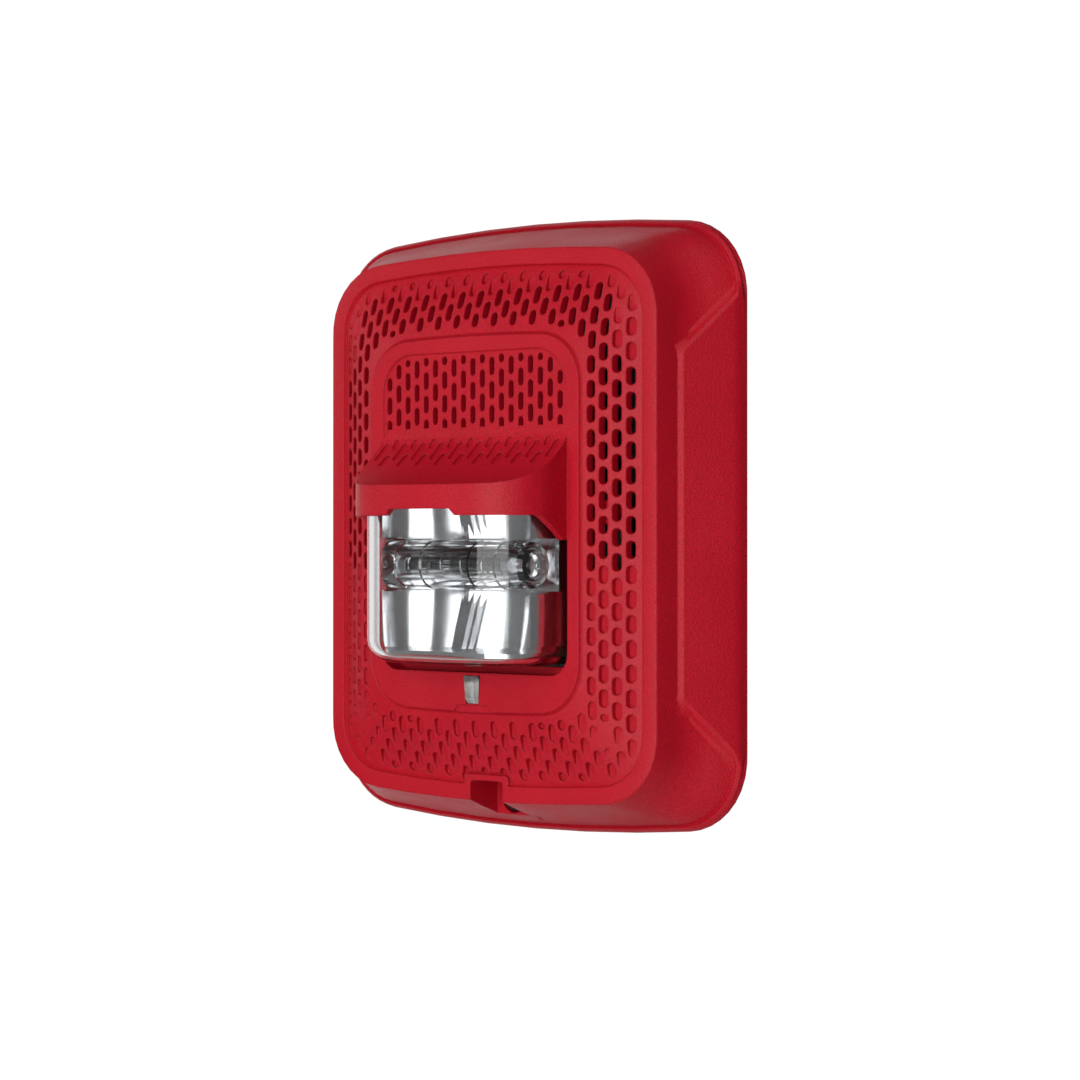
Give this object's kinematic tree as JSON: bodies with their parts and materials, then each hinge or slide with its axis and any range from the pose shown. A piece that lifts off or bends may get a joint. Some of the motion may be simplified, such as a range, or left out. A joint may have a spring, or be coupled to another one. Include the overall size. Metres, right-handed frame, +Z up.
{
  "type": "horn strobe",
  "caption": "Wall-mounted red fire alarm horn strobe: slotted sounder grille, hooded clear flash lens, head that hooks on a wall plate and locks with a captive screw.",
  "frame": {"origin": "centre of the wall plate's rear face", "axes": "+Y into the wall, +Z up, +X to the right seen from the front; the lens faces -Y"},
  "size_m": [0.12, 0.0456, 0.143],
  "materials": {
    "red_shell": "fine-grained satin red moulding",
    "red_plate": "matt red moulding",
    "black_plastic": "matt black moulding",
    "white_plastic": "satin off-white",
    "clear": "clear polished polycarbonate",
    "clear_optic": "clear polished polycarbonate",
    "tube_glass": "clear glass",
    "chromed": "vacuum-metallised",
    "brass": "stamped brass",
    "steel": "zinc-plated steel",
    "spring_metal": "phosphor bronze strip",
    "board": "solder-masked glass epoxy",
    "can": "sleeved aluminium can",
    "copper": "enamelled copper wire",
    "tape": "polyester tape over the winding",
    "ferrite": "sintered ferrite",
    "chip": "moulded epoxy",
    "resistor": "ceramic body",
    "blue_plastic": "glossy blue moulding",
    "mesh": "woven black cloth",
    "foam": "closed-cell foam",
    "rubber": "soft rubber",
    "cone": "pressed paper",
    "wire": "insulated wire",
    "basket": "black painted pressing",
    "nylon": "natural nylon",
    "scale": "plain white strip"
  },
  "bodies": {
    "wall_plate": {"mounting_plate": "red_plate", "terminal_block": "black_plastic", "terminal_clamps": "brass", "terminal_screws": "steel", "shorting_spring": "spring_metal"},
    "head": {"front_cover": "red_shell", "acoustic_mesh": "mesh", "lens": "clear", "optic_bar": "clear_optic", "indicator_window": "clear_optic", "reflector": "chromed", "flash_tube": "tube_glass", "tube_electrodes": "steel", "trigger_wire": "copper", "lamp_holder": "white_plastic", "circuit_board": "board", "board_screws": "steel", "storage_capacitor": "can", "trigger_transformer": "tape", "choke_coil": "ferrite", "board_chips": "chip", "board_resistors": "resistor", "selector_base": "black_plastic", "tone_base": "blue_plastic", "contact_pins": "brass", "driver_basket": "basket", "driver_gasket": "foam", "driver_surround": "rubber", "front_pole_plate": "steel", "ring_magnet": "ferrite", "yoke": "steel", "driver_leads": "wire", "back_cover": "black_plastic", "back_screws": "steel"},
    "sounder": {"diaphragm": "cone", "voice_coil": "copper"},
    "candela_selector": {"candela_slider": "white_plastic", "candela_strip": "scale"},
    "tone_selector": {"tone_rotor": "white_plastic"},
    "screw_carrier": {"screw_washer": "nylon"},
    "captive_screw": {"mount_screw": "steel"}
  },
  "joints": [
    {"name": "head_tilt", "type": "hinge", "parent": "wall_plate", "child": "head", "pos_m": [0, -0.003, 0.0656], "axis": [-1, 0, 0], "range_deg": [0, 12]},
    {"name": "sounder_stroke", "type": "slide", "parent": "head", "child": "sounder", "axis": [0, -1, 0], "range_m": [-0.0004, 0.0004], "stiffness_N_per_m": 1500},
    {"name": "candela_select", "type": "slide", "parent": "head", "child": "candela_selector", "axis": [1, 0, 0], "range_m": [-0.006, 0.006]},
    {"name": "tone_select", "type": "hinge", "parent": "head", "child": "tone_selector", "pos_m": [-0.027, -0.009, -0.0295], "axis": [0, 1, 0], "range_deg": [-157.5, 157.5]},
    {"name": "screw_travel", "type": "slide", "parent": "head", "child": "screw_carrier", "axis": [0, -1, 0], "range_m": [0, 0.0036]},
    {"name": "screw_turn", "type": "hinge", "parent": "screw_carrier", "child": "captive_screw", "pos_m": [0, -0.008, -0.0636], "axis": [0, -1, 0], "range_deg": [0, 1634]}
  ],
  "couplings": [
    {"joint": "screw_turn", "follows": "screw_travel", "rad_per_m": 7915.1}
  ]
}
